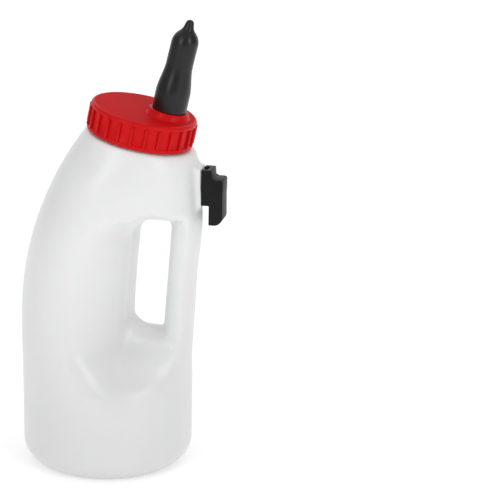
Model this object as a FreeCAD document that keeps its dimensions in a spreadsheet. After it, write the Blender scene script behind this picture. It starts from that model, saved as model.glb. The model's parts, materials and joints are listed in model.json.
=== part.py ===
import FreeCAD, Part
import math
import os
import Sketcher

# Calf feeding bottle: a blow-moulded milk bottle with a built-in grip, a screw cap
# with an off-centre rubber teat and a flow valve, and a hook to hang it on a pen rail.
# +Z is up and the origin is the centre of the face that the bottle stands on. The grip,
# the hook and the teat are on the +X side, and Y = 0 is the mould's parting plane.
# The neck and all that screws on it share one axis, which leans towards +X.

Vector = FreeCAD.Vector

# ---------------------------------------------------------------- driving dimensions
DIMENSIONS = {
    # bottle
    "wall": (2.0, "wall of the blow-moulded bottle"),
    "base_radius": (78.8, "outer radius of the round base"),
    "base_corner": (22.0, "rounding between the base and the side"),
    # grip hole through the back of the bottle
    "grip_front_low": (24.3, "front wall of the grip hole, at its foot"),
    "grip_front_high": (29.6, "front wall of the grip hole, at its top"),
    "grip_back_low": (54.5, "grip side of the hole, at its foot"),
    "grip_back_high": (60.6, "grip side of the hole, at its top"),
    "grip_foot": (131.0, "height of the hole's foot"),
    "grip_top": (240.0, "height of the hole's top"),
    "grip_depth": (20.5, "half the grip's width across the parting plane"),
    "grip_thickness": (13.2, "half the grip's thickness, front to back"),
    "grip_front_flare": (1.6, "how far the hole's front wall opens at the grip's width"),
    "grip_foot_flare": (17.0, "how far the hole's foot drops at the grip's width"),
    "grip_top_flare": (3.0, "how far the hole's top rises at the grip's width"),
    "grip_round_large": (15.0, "rounding of the hole's upper front corner"),
    "grip_round_small": (6.0, "rounding of the other corners"),
    # neck and cap axis
    "cap_seat_x": (28.7, "centre of the cap's lower rim, along X"),
    "cap_seat_z": (311.3, "centre of the cap's lower rim, height"),
    "cap_tilt": (11.6, "lean of the neck axis towards +X, degrees"),
    "neck_radius": (43.0, "outer radius of the neck, under the thread"),
    "neck_bore": (40.8, "inner radius of the neck"),
    "lip_height": (20.6, "height of the neck's lip over the cap's lower rim"),
    "neck_root": (6.0, "how far the neck goes down into the shoulder"),
    "shoulder_gap": (1.5, "shoulder to the cap's lower rim"),
    "shoulder_inset": (1.5, "shoulder's edge inside the cap's outer face"),
    # thread
    "thread_pitch": (6.0, "rise of the thread in one turn"),
    "thread_start": (4.5, "height of the neck thread's first turn over the cap's rim"),
    "thread_rise": (8.0, "height that each thread climbs"),
    "thread_depth": (1.8, "how far each thread stands proud"),
    "thread_width": (2.2, "thread width at its root"),
    "thread_crest": (1.0, "thread width at its crest"),
    "thread_sink": (0.3, "how far each thread's root is sunk into its wall"),
    # cap
    "cap_radius": (48.5, "outer radius of the cap"),
    "cap_inner": (45.3, "inner radius of the cap's skirt"),
    "cap_height": (25.4, "height of the cap without its collar"),
    "cap_plate": (2.4, "thickness of the cap's top"),
    "cap_edge": (3.2, "rounding of the cap's top edge"),
    "panel_count": (25, "recessed grip panels round the skirt"),
    "panel_width": (9.4, "width of one grip panel"),
    "panel_depth": (1.1, "depth of a grip panel at its middle"),
    "panel_low": (3.6, "lower end of a grip panel"),
    "panel_high": (20.8, "upper end of a grip panel"),
    # teat collar on the cap
    "teat_offset": (21.6, "teat axis from the cap axis, towards the grip"),
    "collar_foot": (19.8, "outer radius of the collar at the cap's top"),
    "collar_head": (17.4, "outer radius of the collar at its top"),
    "collar_top": (31.0, "top of the collar over the cap's lower rim"),
    "collar_sink": (0.5, "how far the collar is sunk into the cap's top"),
    "collar_step": (27.6, "height of the step that the teat's flange bears on"),
    "collar_bore": (14.9, "radius of the hole that the teat comes through"),
    "collar_cavity": (16.9, "radius of the room for the flange under the step"),
    # teat
    "teat_foot_radius": (15.6, "radius of the teat over the collar"),
    "teat_mid_radius": (12.2, "radius of the teat's upper part"),
    "teat_neck_radius": (14.7, "radius of the teat inside the collar's hole"),
    "teat_flange_radius": (16.6, "radius of the teat's flange"),
    "teat_flange_low": (25.2, "underside of the teat's flange"),
    "teat_flange_high": (27.5, "upper side of the teat's flange"),
    "teat_shelf": (31.1, "height where the teat bulges out over the collar"),
    "teat_taper_low": (51.0, "start of the taper"),
    "teat_taper_high": (71.0, "end of the taper"),
    "teat_shoulder": (93.5, "start of the rounded shoulder"),
    "teat_shoulder_round": (8.0, "rounding of the teat's shoulder"),
    "teat_tip_round": (2.8, "rounding of the teat's tip"),
    "teat_nub_low": (104.0, "foot of the nub"),
    "teat_nub_radius": (5.6, "radius of the nub at its foot"),
    "teat_tip": (115.3, "top of the nub"),
    "teat_tip_radius": (3.2, "radius of the nub near its top"),
    "teat_wall": (2.6, "rubber thickness"),
    "teat_outlet": (0.9, "radius of the hole in the nub"),
    # gasket
    "gasket_gap": (0.1, "clearance of the sealing ring over the neck's lip"),
    "gasket_thickness": (2.2, "sealing ring thickness"),
    "gasket_inner": (40.9, "sealing ring inner radius"),
    "gasket_outer": (45.0, "sealing ring outer radius"),
    # flow valve
    "seat_radius": (17.5, "radius of the valve seat's flange"),
    "seat_low": (20.9, "underside of the valve seat"),
    "seat_high": (23.0, "upper side of the valve seat's flange"),
    "seat_spigot": (16.7, "radius of the spigot inside the cap's cavity"),
    "seat_spigot_high": (23.5, "upper side of the spigot"),
    "port_ring": (7.5, "radius of the circle that the ports lie on"),
    "seat_port": (3.0, "radius of the port in the valve seat"),
    "pin_radius": (2.0, "radius of the dial's pivot pin"),
    "pin_top": (27.5, "top of the pivot pin"),
    "pin_clearance": (0.05, "radial clearance of the dial on its pin"),
    "dial_low": (23.6, "underside of the dial"),
    "dial_high": (25.1, "upper side of the dial's plate"),
    "dial_radius": (16.4, "radius of the dial's plate"),
    "dial_hub_radius": (11.9, "radius of the hub that plugs into the teat"),
    "dial_hub_high": (29.0, "top of the hub"),
    "dial_hub_bore": (10.2, "inner radius of the hub"),
    "slow_port": (1.2, "radius of the slow port"),
    "middle_port": (1.8, "radius of the middle port"),
    "fast_port": (2.6, "radius of the fast port"),
    # non-return ball and its cage
    "ball_radius": (3.8, "radius of the non-return ball"),
    "ball_gap": (0.02, "clearance of the resting ball over its seat"),
    "ball_lift": (3.0, "travel of the ball"),
    "cage_radius": (6.0, "outer radius of the cage"),
    "cage_bore": (4.2, "inner radius of the cage"),
    "cage_low": (8.0, "lower end of the cage"),
    "cage_floor": (1.8, "thickness of the cage's floor"),
    "cage_inlet": (2.4, "radius of the hole that the ball closes"),
    "cage_stop_high": (20.9, "top of the cage"),
    "cage_stop_height": (1.2, "height of the bar that stops the ball"),
    "cage_stop_width": (1.6, "width of the bar that stops the ball"),
    # hook
    "boss_back": (88.5, "face of the boss that carries the hook, along X"),
    "boss_front": (76.0, "root of the boss inside the bottle, along X"),
    "boss_low": (251.0, "foot of the boss"),
    "boss_high": (287.0, "top of the boss"),
    "hook_half": (10.0, "half the width of the hook and of its boss"),
    "block_back": (98.3, "outer face of the hook's block"),
    "block_low": (253.0, "foot of the hook's block"),
    "block_high": (286.0, "top of the hook's block"),
    "finger_front": (95.7, "inner face of the hook's finger"),
    "finger_back": (108.4, "outer face of the hook's finger"),
    "finger_low": (235.0, "tip of the hook's finger"),
    "finger_high": (277.6, "top of the hook's finger"),
    "finger_round": (8.0, "rounding of the finger's outer tip"),
    "finger_edge": (2.0, "rounding of the finger's other outer edge"),
    "rail_stem_half": (2.6, "half the width of the T rail's stem"),
    "rail_head_half": (5.2, "half the width of the T rail's head"),
    "rail_stem": (2.2, "length of the T rail's stem"),
    "rail_head": (2.4, "thickness of the T rail's head"),
    "rail_low": (256.0, "foot of the T rail"),
    "rail_high": (281.0, "top of the T rail"),
    "rail_fit": (0.1, "gap between the T rail and the hook's slot"),
}

# Stations of the bottle's outer form, from the base up to the shoulder. Each is a cut
# through the bottle, level at the base and leaning more towards the neck.
STATION_FIELDS = ("height", "lean", "front", "back", "half_depth", "widest", "tail_share", "tail_half")
STATIONS = (
    (22.0, 0.0, -78.8, 78.8, 78.8, 0.0, 0.0, 22.0),
    (85.0, 0.0, -79.6, 78.8, 79.0, 0.0, 0.0, 22.0),
    (108.0, 0.0, -79.7, 79.6, 79.0, -3.0, 0.35, 22.0),
    (131.0, 0.0, -79.6, 81.0, 77.0, -8.0, 1.0, 22.0),
    (170.0, 0.0, -78.1, 82.8, 75.0, -8.0, 1.0, 20.5),
    (210.0, 2.0, -70.5, 85.8, 71.0, -4.0, 1.0, 20.5),
    (244.0, 5.0, -58.5, 87.6, 65.0, 2.0, 1.0, 21.5),
    (278.0, 8.0, -41.0, 82.5, 56.0, 12.0, 0.6, 24.0),
    (294.2, 9.3, -31.0, 81.5, 51.0, 25.0, 0.2, 30.0),
)
TAIL_LENGTH = 40.0      # widest place to where the tail starts
TAIL_END = 13.0         # length of the tail's round end
OUTLINE_STEPS = 12      # outline points in each quarter of a station
GRIP_SHARES = (-1.7, -1.0, -0.85, -0.5, 0.0, 0.5, 0.85, 1.0, 1.7)


def new_sheet(document):
    """Make the spreadsheet that holds every driving dimension."""
    made = document.addObject("Spreadsheet::Sheet", "Dims")
    rows = [(alias, value, note) for alias, (value, note) in DIMENSIONS.items()]
    for number, station in enumerate(STATIONS):
        for field, value in zip(STATION_FIELDS, station):
            rows.append((station_alias(number, field), value, "bottle station"))
    for row, (alias, value, note) in enumerate(rows, start=1):
        made.set("A%d" % row, note)
        made.set("B%d" % row, str(value))
        made.setAlias("B%d" % row, alias)
    return made


def station_alias(number, field):
    return "station_%s_%s" % ("abcdefghij"[number], field)


doc = FreeCAD.newDocument("calf_feeding_bottle")
sheet = new_sheet(doc)
doc.recompute()


def size(expression):
    """The value of an expression on the sheet's aliases, written without the sheet's name."""
    return float(sheet.evalExpression(expression))


def on_sheet(expression):
    """The same expression as another object has to write it."""
    return " ".join("Dims." + word if word in DIMENSIONS else word for word in expression.split())


def bind(thing, **expressions):
    """Bind properties to the sheet: keyword = property, with __ for a dot."""
    for path, expression in expressions.items():
        thing.setExpression(path.replace("__", "."), on_sheet(expression))


# ---------------------------------------------------------------- sketches and bodies
def new_body(name):
    body = doc.addObject("PartDesign::Body", name)
    body.Label = name
    return body


def origin_feature(body, role):
    return next(item for item in body.Origin.OriginFeatures if item.Role == role)


def outline_sketch(body, name, role, points):
    """A closed outline of straight runs, each corner held to the sheet by two distances."""
    sketch = body.newObject("Sketcher::SketchObject", name)
    sketch.AttachmentSupport = (origin_feature(body, role), [""])
    sketch.MapMode = "FlatFace"
    places = [Vector(size(across), size(up), 0) for across, up in points]
    for index, place in enumerate(places):
        following = places[(index + 1) % len(places)]
        sketch.addGeometry(Part.LineSegment(place, following), False)
    for index in range(len(places)):
        following = (index + 1) % len(places)
        sketch.addConstraint(Sketcher.Constraint("Coincident", index, 2, following, 1))
    for index, (across, up) in enumerate(points):
        for kind, expression in (("DistanceX", across), ("DistanceY", up)):
            value = size(expression)
            if abs(value) < 1e-9:
                axis = "PointOnObject"
                line = -2 if kind == "DistanceX" else -1
                sketch.addConstraint(Sketcher.Constraint(axis, index, 1, line))
                continue
            number = sketch.addConstraint(Sketcher.Constraint(kind, -1, 1, index, 1, value))
            label = "%s%d" % ("across" if kind == "DistanceX" else "up", index)
            sketch.renameConstraint(number, label)
            sketch.setExpression("Constraints." + label, on_sheet(expression))
    return sketch


def turn(body, name, points):
    """Turn a half outline (radius, height) about the body's Z axis."""
    sketch = outline_sketch(body, name + "_outline", "XZ_Plane", points)
    feature = body.newObject("PartDesign::Revolution", name)
    feature.Profile = sketch
    feature.ReferenceAxis = (origin_feature(body, "Z_Axis"), [""])
    feature.Angle = 360
    doc.recompute()
    return feature


def bore(body, name, radius, low, high, across="0", along_y="0"):
    """Cut a round hole parallel to the body's axis."""
    cut = body.newObject("PartDesign::SubtractiveCylinder", name)
    bind(cut, Radius=radius, Height="( %s ) - ( %s )" % (high, low))
    bind(cut, Placement__Base__x=across, Placement__Base__y=along_y, Placement__Base__z=low)
    doc.recompute()
    return cut


def round_edges(body, name, radius, chosen):
    """Fillet the body's edges that the test chooses."""
    doc.recompute()
    base = body.Tip
    names = ["Edge%d" % number for number, edge in enumerate(base.Shape.Edges, start=1) if chosen(edge)]
    if not names:
        raise RuntimeError("no edge to round for " + name)
    fillet = body.newObject("PartDesign::Fillet", name)
    fillet.Base = (base, names)
    bind(fillet, Radius=radius)
    doc.recompute()
    return fillet


def ring_edge(radius, height):
    """A test for a full circle of this radius at this height, about the body's axis."""
    def chosen(edge):
        curve = edge.Curve
        return (isinstance(curve, Part.Circle) and abs(curve.Radius - size(radius)) < 1e-3
                and abs(curve.Center.z - size(height)) < 1e-3)
    return chosen


def thread(body, name, root, crest, start):
    """A helical ridge whose section is a trapezium from the root radius to the crest."""
    half_root = "thread_width / 2"
    half_crest = "thread_crest / 2"
    points = ((root, "( %s ) - %s" % (start, half_root)),
              (crest, "( %s ) - %s" % (start, half_crest)),
              (crest, "( %s ) + %s" % (start, half_crest)),
              (root, "( %s ) + %s" % (start, half_root)))
    sketch = outline_sketch(body, name + "_section", "XZ_Plane", points)
    ridge = body.newObject("PartDesign::AdditiveHelix", name)
    ridge.Profile = sketch
    ridge.ReferenceAxis = (origin_feature(body, "Z_Axis"), [""])
    ridge.Mode = "pitch-height-angle"
    bind(ridge, Pitch="thread_pitch", Height="thread_rise")
    doc.recompute()
    return ridge


def on_cap_axis(thing, offset="0"):
    """Stand a piece that is modelled upright on the neck's leaning axis."""
    lean = math.radians(size("cap_tilt"))
    along = size(offset)
    foot = Vector(size("cap_seat_x") + along * math.cos(lean), 0,
                  size("cap_seat_z") - along * math.sin(lean))
    thing.Placement = FreeCAD.Placement(foot, FreeCAD.Rotation(Vector(0, 1, 0), size("cap_tilt")))
    bind(thing, Placement__Base__x="cap_seat_x + ( %s ) * cos( 1deg * cap_tilt )" % offset,
         Placement__Base__z="cap_seat_z - ( %s ) * sin( 1deg * cap_tilt )" % offset,
         Placement__Rotation__Angle="cap_tilt")


def boolean(kind, name, *pieces):
    """A Part::Cut, Part::MultiFuse or Part::MultiCommon of other objects."""
    made = doc.addObject(kind, name)
    if kind == "Part::Cut":
        made.Base, made.Tool = pieces
    else:
        made.Shapes = list(pieces)
    doc.recompute()
    return made


def box(name, low, high):
    """A Part::Box between two corners given as expressions."""
    made = doc.addObject("Part::Box", name)
    bind(made, Length="( %s ) - ( %s )" % (high[0], low[0]), Width="( %s ) - ( %s )" % (high[1], low[1]),
         Height="( %s ) - ( %s )" % (high[2], low[2]))
    bind(made, Placement__Base__x=low[0], Placement__Base__y=low[1], Placement__Base__z=low[2])
    return made


# ---------------------------------------------------------------- bottle
def station_wire(number, inset):
    """One closed outline of the bottle's form, drawn this far inside the outer face."""
    height, lean, front, back, half_depth, widest, tail_share, tail_half = (
        size(station_alias(number, field)) for field in STATION_FIELDS)
    lean = math.radians(lean)
    middle = (front + back) / 2
    reach_front = (widest - front) / math.cos(lean) - inset
    reach_back = (back - widest) / math.cos(lean) - inset
    depth = half_depth - inset
    tail = tail_half - inset
    steps = 2 * OUTLINE_STEPS
    side = []
    for step in range(steps + 1):
        angle = math.pi * (1 - step / steps)
        reach = reach_front if step < OUTLINE_STEPS else reach_back
        along = reach * math.cos(angle)
        plain = depth * math.sin(angle)
        drawn_in = plain
        if step > OUTLINE_STEPS:
            fall = 0.5 * (1 + math.cos(math.pi * min(1.0, along / TAIL_LENGTH)))
            past = max(0.0, (along - reach_back + TAIL_END) / TAIL_END)
            end = math.sqrt(max(0.0, 1 - past * past))
            drawn_in = tail * end + (depth - tail) * fall
        side.append((along, plain + tail_share * (drawn_in - plain)))
    outline = side + [(along, -across) for along, across in reversed(side[1:-1])]
    places = []
    for along, across in outline:
        from_middle = (widest - middle) / math.cos(lean) + along
        places.append(Vector(middle + from_middle * math.cos(lean), across,
                             height - from_middle * math.sin(lean)))
    return closed_curve(places)


def corner_wire(share, inset):
    """A level circle on the base's large corner: share 0 is the flat face, 1 the upright side."""
    angle = share * math.pi / 2
    round_radius = size("base_corner") - inset
    radius = size("base_radius - base_corner") + round_radius * math.sin(angle)
    return round_wire(Vector(0, 0, size("base_corner") - round_radius * math.cos(angle)), radius, 0.0)


def round_wire(middle, radius, lean):
    """A circle drawn with the same points as the stations, so that the loft stays smooth."""
    places = []
    steps = 4 * OUTLINE_STEPS
    for step in range(steps):
        angle = math.pi - 2 * math.pi * step / steps
        along = radius * math.cos(angle)
        across = radius * math.sin(angle)
        places.append(middle + Vector(along * math.cos(lean), across, -along * math.sin(lean)))
    return closed_curve(places)


def closed_curve(places):
    curve = Part.BSplineCurve()
    curve.interpolate(Points=places, PeriodicFlag=True,
                      Parameters=[float(value) for value in range(len(places) + 1)])
    return Part.Wire([curve.toShape()])


def shoulder_wire(inset):
    """The round top of the form, square to the neck's axis just under the cap."""
    lean = math.radians(size("cap_tilt"))
    drop = size("shoulder_gap") + inset
    radius = size("cap_radius - shoulder_inset") - inset
    middle = Vector(size("cap_seat_x") - drop * math.sin(lean), 0,
                    size("cap_seat_z") - drop * math.cos(lean))
    return round_wire(middle, radius, lean)


def blown_form(name, inset):
    """The bottle's free form as a loft through its stations, as a mould maker draws it."""
    wires = [corner_wire(share, inset) for share in (0.0, 0.25, 0.5, 0.75)]
    wires += [station_wire(number, inset) for number in range(len(STATIONS))]
    wires.append(shoulder_wire(inset))
    form = doc.addObject("Part::Feature", name)
    form.Shape = Part.makeLoft(wires, True, False)
    return form


def rounded_outline(corners, radii, across):
    """A closed wire in the plane Y = across: straight runs with an arc at each corner."""
    points = [Vector(x, across, z) for x, z in corners]
    arcs = []
    for index, corner in enumerate(points):
        back = (points[index - 1] - corner).normalize()
        ahead = (points[(index + 1) % len(points)] - corner).normalize()
        half = math.acos(back.dot(ahead)) / 2
        radius = radii[index]
        cut = radius / math.tan(half)
        bisector = (back + ahead).normalize()
        middle = corner + bisector * (radius / math.sin(half) - radius)
        arcs.append((corner + back * cut, middle, corner + ahead * cut))
    edges = []
    for index, (start, middle, end) in enumerate(arcs):
        edges.append(Part.Arc(start, middle, end).toShape())
        edges.append(Part.LineSegment(end, arcs[(index + 1) % len(arcs)][0]).toShape())
    return Part.Wire(edges)


def grip_hole(name, grow):
    """The tool that cuts the grip hole. It is narrowest at the parting plane and opens out
    towards both sides: round behind the grip, sloping at the foot, steep at the front."""
    half = size("grip_depth")
    wires = []
    for share in GRIP_SHARES:
        out = abs(share)
        behind_grip = size("grip_thickness") * (1 - math.sqrt(max(0.0, 1 - out * out)))
        to_front = size("grip_front_flare") * out * out
        to_foot = size("grip_foot_flare") * out * out / (0.35 + 0.65 * out)
        to_top = size("grip_top_flare") * out * out
        left_low = size("grip_front_low") - to_front - grow
        left_high = size("grip_front_high") - to_front - grow
        right_low = size("grip_back_low") + behind_grip + grow
        right_high = size("grip_back_high") + behind_grip + grow
        foot = size("grip_foot") - to_foot - grow
        top = size("grip_top") + to_top + grow
        corners = ((left_low, foot), (right_low, foot), (right_high, top), (left_high, top))
        small = size("grip_round_small") + grow
        radii = (small, small, small, size("grip_round_large") + grow)
        wires.append(rounded_outline(corners, radii, share * half))
    tool = doc.addObject("Part::Feature", name)
    tool.Shape = Part.makeLoft(wires, True, True)
    return tool


def neck_plug():
    """The neck with its thread, still without its bore."""
    body = new_body("neck")
    turn(body, "neck_tube", (("0", "0 - neck_root"), ("neck_radius", "0 - neck_root"),
                             ("neck_radius", "lip_height"), ("0", "lip_height")))
    thread(body, "neck_thread", "neck_radius - thread_sink", "neck_radius + thread_depth", "thread_start")
    on_cap_axis(body)
    return body


def neck_way():
    """The clear way through the neck."""
    body = new_body("neck_way")
    turn(body, "neck_way_form", (("0", "0 - neck_root - 4"), ("neck_bore", "0 - neck_root - 4"),
                                 ("neck_bore", "lip_height + 5"), ("0", "lip_height + 5")))
    on_cap_axis(body)
    return body


def hook_rail(name, gap, top):
    """The T rail on the boss, or with a gap and a higher top the slot that slides over it."""
    foot = "rail_low - " + gap
    stem = box(name + "_stem", ("boss_back - 1", "0 - rail_stem_half - " + gap, foot),
               ("boss_back + rail_stem + " + gap, "rail_stem_half + " + gap, top))
    head = box(name + "_head", ("boss_back + rail_stem - " + gap, "0 - rail_head_half - " + gap, foot),
               ("boss_back + rail_stem + rail_head + " + gap, "rail_head_half + " + gap, top))
    return boolean("Part::MultiFuse", name, stem, head)


def make_bottle():
    outer = blown_form("outer_form", 0.0)
    inner = blown_form("inner_form", size("wall"))
    boss = box("hook_boss", ("boss_front", "0 - hook_half", "boss_low"),
               ("boss_back", "hook_half", "boss_high"))
    rail = hook_rail("hook_rail", "0", "rail_high")
    solid = boolean("Part::MultiFuse", "solid_form", outer, boss, rail, neck_plug())
    pierced = boolean("Part::Cut", "pierced_form", solid, grip_hole("grip_hole", 0.0))
    hollow = boolean("Part::Cut", "hollow_form", inner, grip_hole("grip_wall", size("wall")))
    inside = boolean("Part::MultiFuse", "inside_form", hollow, neck_way())
    bottle = boolean("Part::Cut", "bottle_whole", pierced, inside)
    bottle.Label = "bottle"
    return bottle


# ---------------------------------------------------------------- cap
def make_cap():
    body = new_body("screw_cap")
    turn(body, "cap_shell", (("cap_inner", "0"), ("cap_radius", "0"), ("cap_radius", "cap_height"),
                             ("0", "cap_height"), ("0", "cap_height - cap_plate"),
                             ("cap_inner", "cap_height - cap_plate")))
    round_edges(body, "cap_top_edge", "cap_edge", ring_edge("cap_radius", "cap_height"))
    collar = body.newObject("PartDesign::AdditiveCone", "teat_collar")
    bind(collar, Radius1="collar_foot", Radius2="collar_head",
         Height="collar_top - cap_height + collar_sink")
    bind(collar, Placement__Base__x="teat_offset", Placement__Base__z="cap_height - collar_sink")
    doc.recompute()
    bore(body, "flange_room", "collar_cavity", "cap_height - cap_plate - 1", "collar_step", "teat_offset")
    bore(body, "teat_hole", "collar_bore", "collar_step - 1", "collar_top + 1", "teat_offset")
    panel = body.newObject("PartDesign::SubtractiveBox", "grip_panel")
    bind(panel, Length="3 * panel_depth", Width="panel_width", Height="panel_high - panel_low")
    bind(panel, Placement__Base__x="cap_radius - panel_depth", Placement__Base__y="0 - panel_width / 2",
         Placement__Base__z="panel_low")
    doc.recompute()
    ring = body.newObject("PartDesign::PolarPattern", "grip_panels")
    ring.Originals = [panel]
    ring.Axis = (origin_feature(body, "Z_Axis"), [""])
    ring.Angle = 360
    bind(ring, Occurrences="panel_count")
    body.Tip = ring
    doc.recompute()
    thread(body, "cap_thread", "cap_inner + thread_sink", "cap_inner - thread_depth",
           "thread_start - thread_pitch / 2")
    on_cap_axis(body)
    return body


def make_gasket():
    body = new_body("cap_gasket")
    low = "lip_height + gasket_gap"
    high = "lip_height + gasket_gap + gasket_thickness"
    turn(body, "gasket_ring", (("gasket_inner", low), ("gasket_outer", low), ("gasket_outer", high),
                               ("gasket_inner", high)))
    on_cap_axis(body)
    return body


# ---------------------------------------------------------------- teat and valve
def make_teat():
    body = new_body("teat")
    turn(body, "teat_form", (
        ("0", "teat_flange_low"), ("teat_flange_radius", "teat_flange_low"),
        ("teat_flange_radius", "teat_flange_high"), ("teat_neck_radius", "teat_flange_high"),
        ("teat_neck_radius", "teat_shelf"), ("teat_foot_radius", "teat_shelf"),
        ("teat_foot_radius", "teat_taper_low"), ("teat_mid_radius", "teat_taper_high"),
        ("teat_mid_radius", "teat_shoulder"), ("teat_nub_radius", "teat_nub_low"),
        ("teat_tip_radius", "teat_tip"), ("0", "teat_tip")))
    round_edges(body, "shoulder_round", "teat_shoulder_round", ring_edge("teat_mid_radius", "teat_shoulder"))
    round_edges(body, "tip_round", "teat_tip_round", ring_edge("teat_tip_radius", "teat_tip"))
    turn_cut(body, "teat_hollow", (
        ("0", "teat_flange_low - 1"), ("teat_neck_radius - teat_wall", "teat_flange_low - 1"),
        ("teat_neck_radius - teat_wall", "teat_taper_low"),
        ("teat_mid_radius - teat_wall", "teat_taper_high"),
        ("teat_mid_radius - teat_wall", "teat_shoulder - 3"),
        ("teat_nub_radius - teat_wall", "teat_nub_low - 3"),
        ("teat_outlet", "teat_tip - 3"), ("teat_outlet", "teat_tip + 1"), ("0", "teat_tip + 1")))
    on_cap_axis(body, "teat_offset")
    return body


def turn_cut(body, name, points):
    """Cut a turned half outline (radius, height) out of the body."""
    sketch = outline_sketch(body, name + "_outline", "XZ_Plane", points)
    groove = body.newObject("PartDesign::Groove", name)
    groove.Profile = sketch
    groove.ReferenceAxis = (origin_feature(body, "Z_Axis"), [""])
    groove.Angle = 360
    doc.recompute()
    return groove


def make_dial():
    body = new_body("valve_dial")
    turn(body, "dial_form", (
        ("0", "dial_low"), ("dial_radius", "dial_low"), ("dial_radius", "dial_high"),
        ("dial_hub_radius", "dial_high"), ("dial_hub_radius", "dial_hub_high"),
        ("dial_hub_bore", "dial_hub_high"), ("dial_hub_bore", "dial_high"), ("0", "dial_high")))
    bore(body, "dial_pivot", "pin_radius + pin_clearance", "dial_low - 1", "dial_high + 1")
    for name, turned in (("slow_port", 180), ("middle_port", 60), ("fast_port", -60)):
        bore(body, name + "_hole", name, "dial_low - 1", "dial_high + 1",
             "port_ring * cos( %ddeg )" % turned, "port_ring * sin( %ddeg )" % turned)
    on_cap_axis(body, "teat_offset")
    return body


def make_seat():
    body = new_body("valve_seat")
    turn(body, "seat_form", (
        ("0", "seat_low"), ("seat_radius", "seat_low"), ("seat_radius", "seat_high"),
        ("seat_spigot", "seat_high"), ("seat_spigot", "seat_spigot_high"),
        ("pin_radius", "seat_spigot_high"), ("pin_radius", "pin_top"), ("0", "pin_top")))
    bore(body, "seat_port_hole", "seat_port", "seat_low - 1", "seat_spigot_high + 1", "0 - port_ring")
    on_cap_axis(body, "teat_offset")
    return body


def make_cage():
    body = new_body("ball_cage")
    turn(body, "cage_tube", (
        ("cage_inlet", "cage_low"), ("cage_radius", "cage_low"), ("cage_radius", "cage_stop_high"),
        ("cage_bore", "cage_stop_high"), ("cage_bore", "cage_low + cage_floor"),
        ("cage_inlet", "cage_low + cage_floor")))
    bar = body.newObject("PartDesign::AdditiveBox", "stop_bar")
    bind(bar, Length="2 * cage_bore + 1", Width="cage_stop_width", Height="cage_stop_height")
    bind(bar, Placement__Base__x="0 - cage_bore - 0.5", Placement__Base__y="0 - cage_stop_width / 2",
         Placement__Base__z="cage_stop_high - cage_stop_height")
    doc.recompute()
    on_cap_axis(body, "teat_offset - port_ring")
    return body


# the ball rests on the rim of the cage's inlet, so its centre stands this high
BALL_REST = "cage_low + cage_floor + sqrt( ball_radius * ball_radius - cage_inlet * cage_inlet ) + ball_gap"


def make_ball():
    ball = doc.addObject("Part::Sphere", "check_ball")
    bind(ball, Radius="ball_radius")
    lean = math.radians(size("cap_tilt"))
    across = size("teat_offset - port_ring")
    up = size(BALL_REST)
    ball.Placement.Base = Vector(size("cap_seat_x") + across * math.cos(lean) + up * math.sin(lean), 0,
                                 size("cap_seat_z") - across * math.sin(lean) + up * math.cos(lean))
    return ball


# ---------------------------------------------------------------- hook
def make_hook():
    block = box("hook_block", ("boss_back", "0 - hook_half", "block_low"),
                ("block_back", "hook_half", "block_high"))
    finger = box("hook_finger", ("finger_front", "0 - hook_half", "finger_low"),
                 ("finger_back", "hook_half", "finger_high"))
    joined = boolean("Part::MultiFuse", "hook_joined", block, finger)
    slot = hook_rail("hook_slot", "rail_fit", "block_high + 1")
    slotted = boolean("Part::Cut", "hook_slotted", joined, slot)
    rounded = doc.addObject("Part::Fillet", "hook_rounded")
    rounded.Base = slotted
    chosen = []
    for number, edge in enumerate(slotted.Shape.Edges, start=1):
        middle = edge.BoundBox.Center
        outer = abs(middle.x - size("finger_back")) < 0.01 and edge.BoundBox.YLength > 10
        if outer and abs(middle.z - size("finger_low")) < 0.01:
            chosen.append((number, size("finger_round"), size("finger_round")))
        elif outer:
            chosen.append((number, size("finger_edge"), size("finger_edge")))
    rounded.Edges = chosen
    doc.recompute()
    rounded.Label = "hook_bracket"
    return rounded


PARTS = [make_bottle(), make_cap(), make_gasket(), make_teat(), make_dial(), make_seat(), make_cage(),
         make_ball(), make_hook()]
doc.recompute()

# ---------------------------------------------------------------- checks and files
for item in doc.Objects:
    if "Invalid" in item.State or "Error" in item.State:
        raise RuntimeError("%s did not rebuild: %s" % (item.Name, item.State))
for part in PARTS:
    if part.Shape.isNull() or not part.Shape.isValid():
        raise RuntimeError(part.Label + " has no valid shape")

os.makedirs("parts", exist_ok=True)
for part in PARTS:
    part.Shape.exportStep("parts/%s.step" % part.Label)
    print(part.Label, "solids", len(part.Shape.Solids), "volume %.1f cm3" % (part.Shape.Volume / 1000))
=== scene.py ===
import json
import math

import bmesh
import bpy
import numpy as np
from bpy.props import FloatProperty, FloatVectorProperty, IntProperty, PointerProperty
from mathutils import Matrix, Vector


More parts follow.
